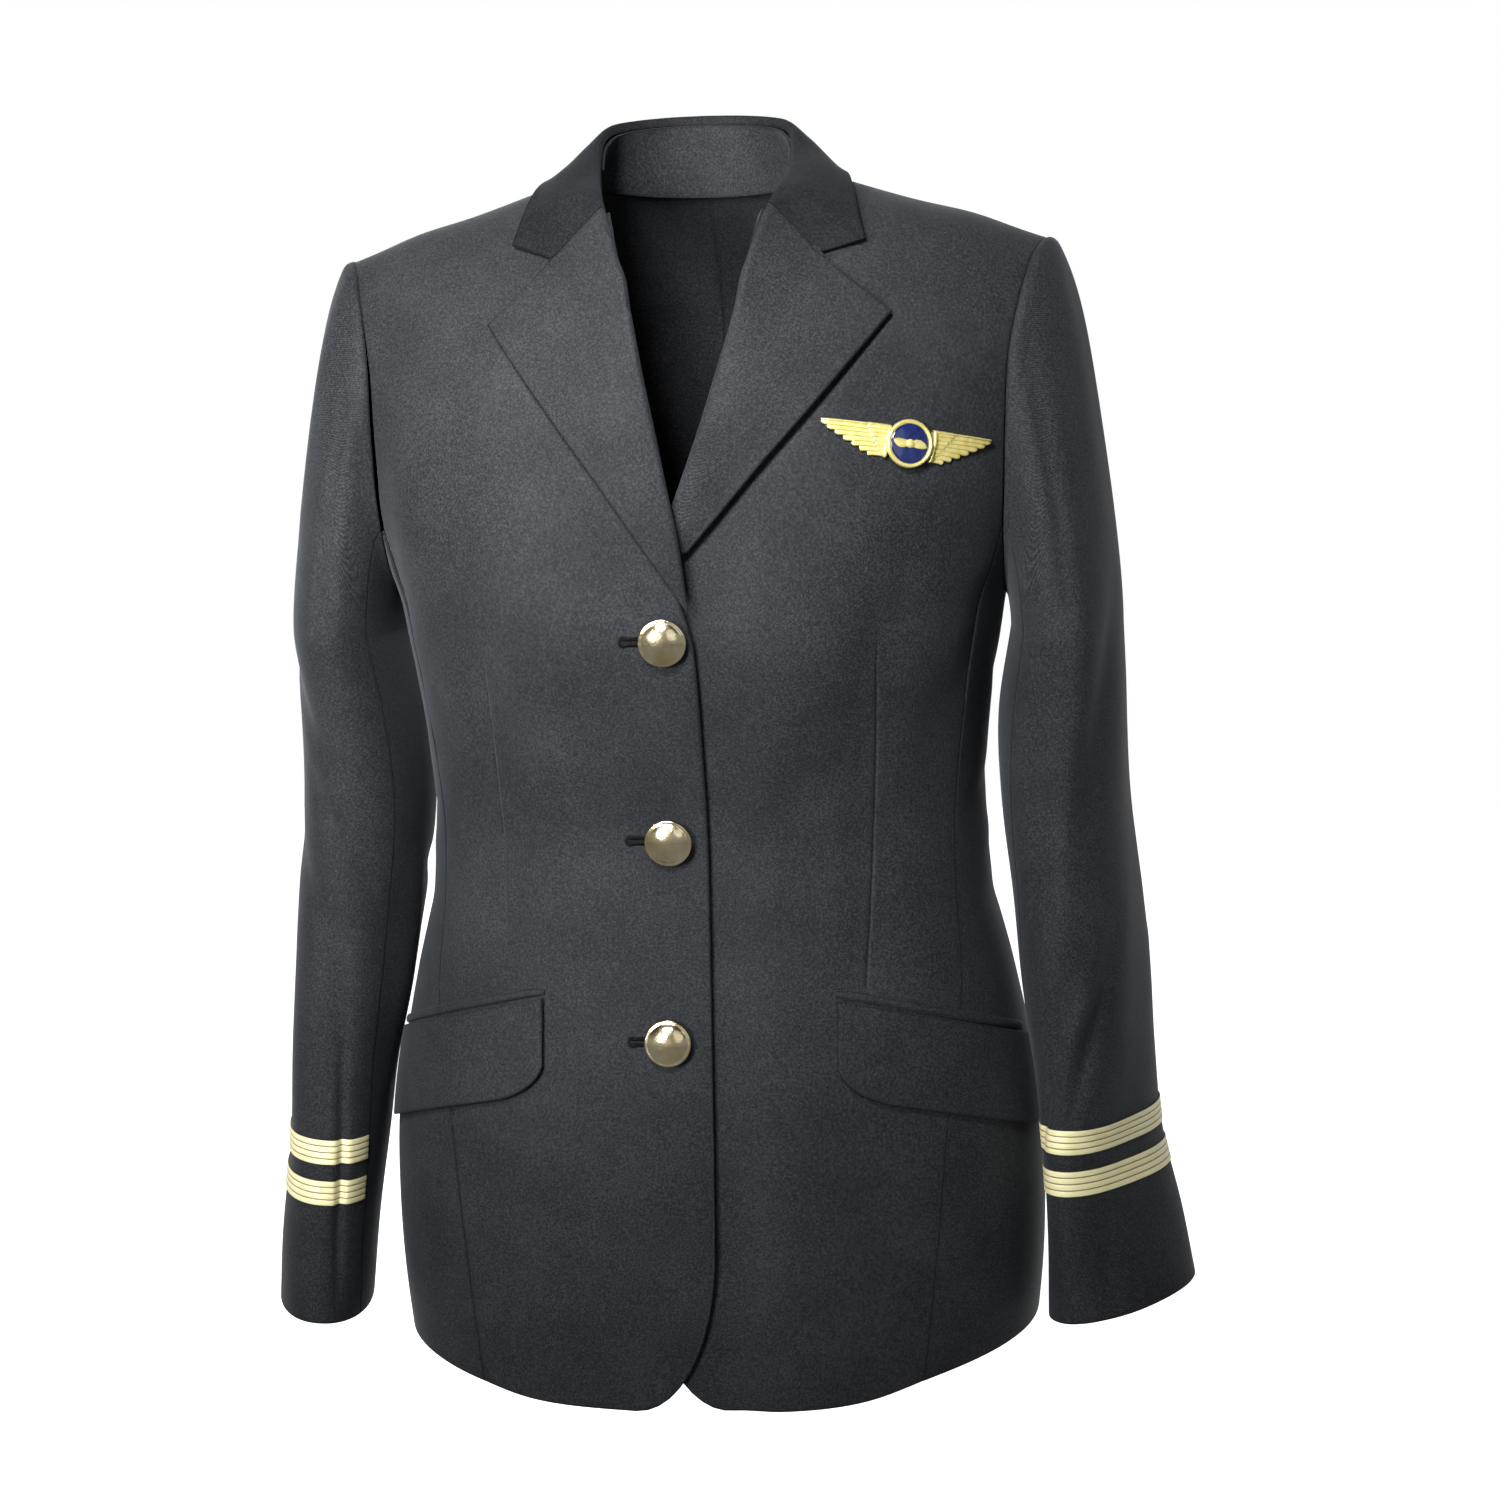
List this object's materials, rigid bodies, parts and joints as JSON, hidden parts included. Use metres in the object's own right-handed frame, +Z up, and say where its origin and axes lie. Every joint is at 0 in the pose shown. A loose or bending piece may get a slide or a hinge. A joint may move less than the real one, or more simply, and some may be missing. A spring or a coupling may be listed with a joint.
{
  "type": "pilot uniform jacket",
  "caption": "Fitted single-breasted uniform jacket with notched lapels, domed brass buttons, slanted flap pockets, sleeve braid and a winged chest badge.",
  "frame": {"origin": "on the body axis at the height of the side neck, where the wearer's shoulders hold the jacket up", "axes": "+Z up, the front faces -Y, +X towards the wearer's left sleeve"},
  "size_m": [0.5197, 0.2415, 0.6909],
  "materials": {
    "cloth": "dark charcoal worsted twill",
    "braid": "pale gold ribbed braid",
    "brass": "polished gold plate",
    "enamel": "blue gloss enamel"
  },
  "bodies": {
    "root": {"front_right": "cloth", "front_left": "cloth", "back_right": "cloth", "back_left": "cloth", "side_right": "cloth", "side_left": "cloth", "lapel_right": "cloth", "lapel_left": "cloth", "flap_right": "cloth", "flap_left": "cloth", "welt_right": "cloth", "welt_left": "cloth", "sleeve_top_right": "cloth", "sleeve_top_left": "cloth", "sleeve_under_right": "cloth", "sleeve_under_left": "cloth", "collar": "cloth", "collar_stand": "cloth", "braid_right_1": "braid", "braid_right_2": "braid", "braid_left_1": "braid", "braid_left_2": "braid", "button_1": "brass", "button_2": "brass", "button_3": "brass", "badge_wings": "brass", "badge_disc": "brass", "badge_enamel": "enamel"}
  },
  "joints": []
}
